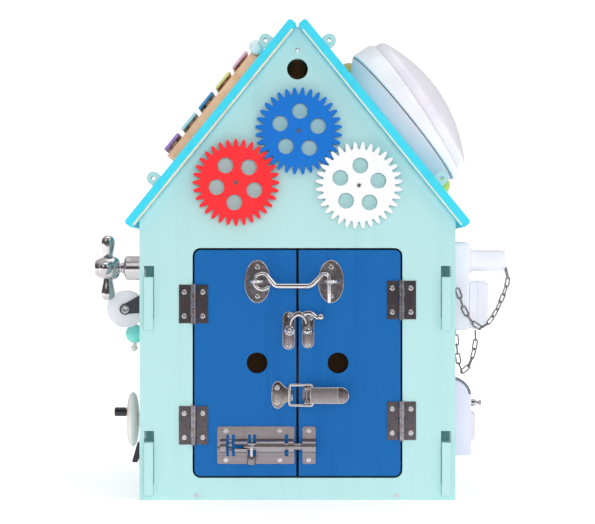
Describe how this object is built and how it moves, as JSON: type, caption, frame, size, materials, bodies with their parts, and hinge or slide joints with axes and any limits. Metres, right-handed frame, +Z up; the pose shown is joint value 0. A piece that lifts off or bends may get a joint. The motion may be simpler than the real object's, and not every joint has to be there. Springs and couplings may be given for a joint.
{
  "type": "wooden busy board house",
  "caption": "House-shaped wooden busy board with latched double doors, meshing gears and small household fittings on its walls and roof.",
  "frame": {"origin": "centre of the house on the surface it stands on, midway between the front and back panels", "axes": "+Z up; -Y towards the viewer, out of the front panel with the doors; +X to the viewer's right"},
  "size_m": [0.4299, 0.3326, 0.4791],
  "materials": {
    "mint_board": "pale mint stain, satin",
    "cyan_board": "turquoise paint, satin",
    "dark_steel": "dull zinc plate",
    "blue_board": "blue stain, satin",
    "gear_blue_paint": "blue paint, satin",
    "gear_red_paint": "red paint, satin",
    "gear_white_paint": "white paint, satin",
    "bright_steel": "brushed",
    "chrome": "polished",
    "caster_white": "gloss",
    "cream_plastic": "satin",
    "black_plastic": "gloss",
    "grey_plastic": "matte",
    "cord": "braided",
    "turquoise_ball": "turquoise paint, satin",
    "white_plastic": "gloss",
    "lamp_lens": "translucent white",
    "rail_wood": "painted and plain wood",
    "bead_paint": "gloss paint",
    "plain_board": "clear varnish",
    "key_metal": "painted in five colours",
    "mallet_mint": "pale mint paint"
  },
  "bodies": {
    "house": {"front_panel": "mint_board", "back_panel": "mint_board", "left_wall": "mint_board", "right_wall": "mint_board", "floor_board": "mint_board", "roof_left": "cyan_board", "roof_right": "cyan_board", "frame_screws": "dark_steel", "hinge_frames": "dark_steel", "gear_axles": "dark_steel", "tap_body": "chrome", "caster_plate": "dark_steel", "crank_hub": "cream_plastic", "switch_box": "grey_plastic", "pull_cord": "cord", "cord_bead": "turquoise_ball", "socket_box": "white_plastic", "chain_upper": "dark_steel", "chain_lower": "dark_steel", "button_box": "white_plastic", "lamp_base": "white_plastic", "bead_rail": "rail_wood", "xylo_base": "plain_board", "xylo_keys": "key_metal"},
    "door_left": {"left_door": "blue_board", "left_hinge_leaves": "dark_steel", "left_door_screws": "dark_steel", "hook_plate_left": "dark_steel", "swan_stud": "dark_steel", "toggle_catch": "bright_steel", "bolt_housing": "bright_steel"},
    "door_right": {"right_door": "blue_board", "right_hinge_leaves": "dark_steel", "right_door_screws": "dark_steel", "hook_plate_right": "dark_steel", "swan_base": "dark_steel", "toggle_base": "bright_steel", "bolt_strike": "bright_steel"},
    "gear_blue": {"gear_blue": "gear_blue_paint"},
    "gear_red": {"gear_red": "gear_red_paint"},
    "gear_white": {"gear_white": "gear_white_paint"},
    "cabin_hook": {"cabin_hook": "dark_steel"},
    "swan_lever": {"swan_lever": "dark_steel"},
    "toggle_lever": {"toggle_lever": "bright_steel"},
    "toggle_loop": {"toggle_loop": "bright_steel"},
    "bolt_rod": {"bolt_rod": "bright_steel"},
    "bolt_handle": {"bolt_handle": "bright_steel"},
    "tap_handle": {"tap_handle": "chrome"},
    "caster_fork": {"caster_fork": "dark_steel"},
    "caster_wheel": {"caster_wheel": "caster_white"},
    "crank_wheel": {"crank_wheel": "cream_plastic"},
    "crank_knob": {"crank_knob": "black_plastic"},
    "switch_rocker": {"switch_rocker": "black_plastic"},
    "plug_upper": {"plug_upper": "white_plastic"},
    "plug_lower": {"plug_lower": "white_plastic"},
    "box_button": {"box_button": "white_plastic"},
    "box_knob": {"box_knob": "dark_steel"},
    "lamp_lens": {"lamp_lens": "lamp_lens"},
    "rail_beads": {"rail_beads": "bead_paint"},
    "mallet": {"mallet": "mallet_mint"}
  },
  "joints": [
    {"name": "door_left_open", "type": "hinge", "parent": "house", "child": "door_left", "pos_m": [-0.104, -0.1526, 0.137], "axis": [0, 0, -1], "range_deg": [0, 119]},
    {"name": "door_right_open", "type": "hinge", "parent": "house", "child": "door_right", "pos_m": [0.104, -0.1526, 0.137], "axis": [0, 0, 1], "range_deg": [0, 119]},
    {"name": "gear_blue_spin", "type": "hinge", "parent": "house", "child": "gear_blue", "pos_m": [0.0012, -0.157, 0.3687], "axis": [0, -1, 0], "continuous": true},
    {"name": "gear_red_spin", "type": "hinge", "parent": "house", "child": "gear_red", "pos_m": [-0.06139, -0.157, 0.31729], "axis": [0, -1, 0], "continuous": true},
    {"name": "gear_white_spin", "type": "hinge", "parent": "house", "child": "gear_white", "pos_m": [0.06121, -0.157, 0.31429], "axis": [0, -1, 0], "continuous": true},
    {"name": "cabin_hook_lift", "type": "hinge", "parent": "door_left", "child": "cabin_hook", "pos_m": [-0.035, -0.1574, 0.2185], "axis": [0, -1, 0], "range_deg": [0, 70]},
    {"name": "swan_lever_swing", "type": "hinge", "parent": "door_right", "child": "swan_lever", "pos_m": [0.0096, -0.155, 0.1694], "axis": [0, 1, 0], "range_deg": [0, 75]},
    {"name": "toggle_lever_open", "type": "hinge", "parent": "door_right", "child": "toggle_lever", "pos_m": [0.0095, -0.1558, 0.105], "axis": [0, 0, -1], "range_deg": [0, 92]},
    {"name": "toggle_loop_fold", "type": "hinge", "parent": "toggle_lever", "child": "toggle_loop", "pos_m": [0.0147, -0.1564, 0.105], "axis": [0, 0, -1], "range_deg": [-134, 0]},
    {"name": "bolt_draw", "type": "slide", "parent": "door_left", "child": "bolt_rod", "axis": [-1, 0, 0], "range_m": [0, 0.021]},
    {"name": "bolt_handle_turn", "type": "hinge", "parent": "bolt_rod", "child": "bolt_handle", "pos_m": [-0.0457, -0.1552, 0.054], "axis": [-1, 0, 0], "range_deg": [0, 35]},
    {"name": "tap_turn", "type": "hinge", "parent": "house", "child": "tap_handle", "pos_m": [-0.19, -0.07, 0.2318], "axis": [-1, 0, 0], "continuous": true},
    {"name": "caster_swivel", "type": "hinge", "parent": "house", "child": "caster_fork", "pos_m": [-0.16, -0.02, 0.1954], "axis": [-1, 0, 0], "continuous": true},
    {"name": "caster_roll", "type": "hinge", "parent": "caster_fork", "child": "caster_wheel", "pos_m": [-0.1826, -0.02, 0.188], "axis": [0, 1, 0], "continuous": true},
    {"name": "crank_turn", "type": "hinge", "parent": "house", "child": "crank_wheel", "pos_m": [-0.17, -0.04, 0.0722], "axis": [-1, 0, 0], "continuous": true},
    {"name": "crank_knob_spin", "type": "hinge", "parent": "crank_wheel", "child": "crank_knob", "pos_m": [-0.18, -0.0578, 0.0814], "axis": [-1, 0, 0], "continuous": true},
    {"name": "switch_press", "type": "hinge", "parent": "house", "child": "switch_rocker", "pos_m": [-0.159, -0.118, 0.045], "axis": [0, -1, 0], "range_deg": [0, 16]},
    {"name": "plug_upper_pull", "type": "slide", "parent": "house", "child": "plug_upper", "axis": [1, 0, 0], "range_m": [0, 0.02], "deforming": ["chain_upper"]},
    {"name": "plug_lower_pull", "type": "slide", "parent": "house", "child": "plug_lower", "axis": [1, 0, 0], "range_m": [0, 0.02], "deforming": ["chain_lower"]},
    {"name": "button_press", "type": "slide", "parent": "house", "child": "box_button", "axis": [-1, 0, 0], "range_m": [0, 0.003], "stiffness_N_per_m": 200},
    {"name": "knob_turn", "type": "hinge", "parent": "house", "child": "box_knob", "pos_m": [0.185, -0.06, 0.0912], "axis": [1, 0, 0], "continuous": true},
    {"name": "lens_press", "type": "slide", "parent": "house", "child": "lamp_lens", "axis": [-0.832, 0, -0.5548], "range_m": [0, 0.0035], "stiffness_N_per_m": 600, "springref_m": -0.003},
    {"name": "beads_slide", "type": "slide", "parent": "house", "child": "rail_beads", "axis": [-0.6307, 0, 0.776], "range_m": [0, 0.035]},
    {"name": "mallet_lift", "type": "slide", "parent": "house", "child": "mallet", "axis": [-0.776, 0, 0.6307], "range_m": [0, 0.03]}
  ],
  "couplings": [
    {"joint": "gear_red_spin", "follows": "gear_blue_spin", "ratio": -1},
    {"joint": "gear_white_spin", "follows": "gear_blue_spin", "ratio": -1},
    {"joint": "toggle_loop_fold", "follows": "toggle_lever_open", "ratio": -1.45}
  ]
}
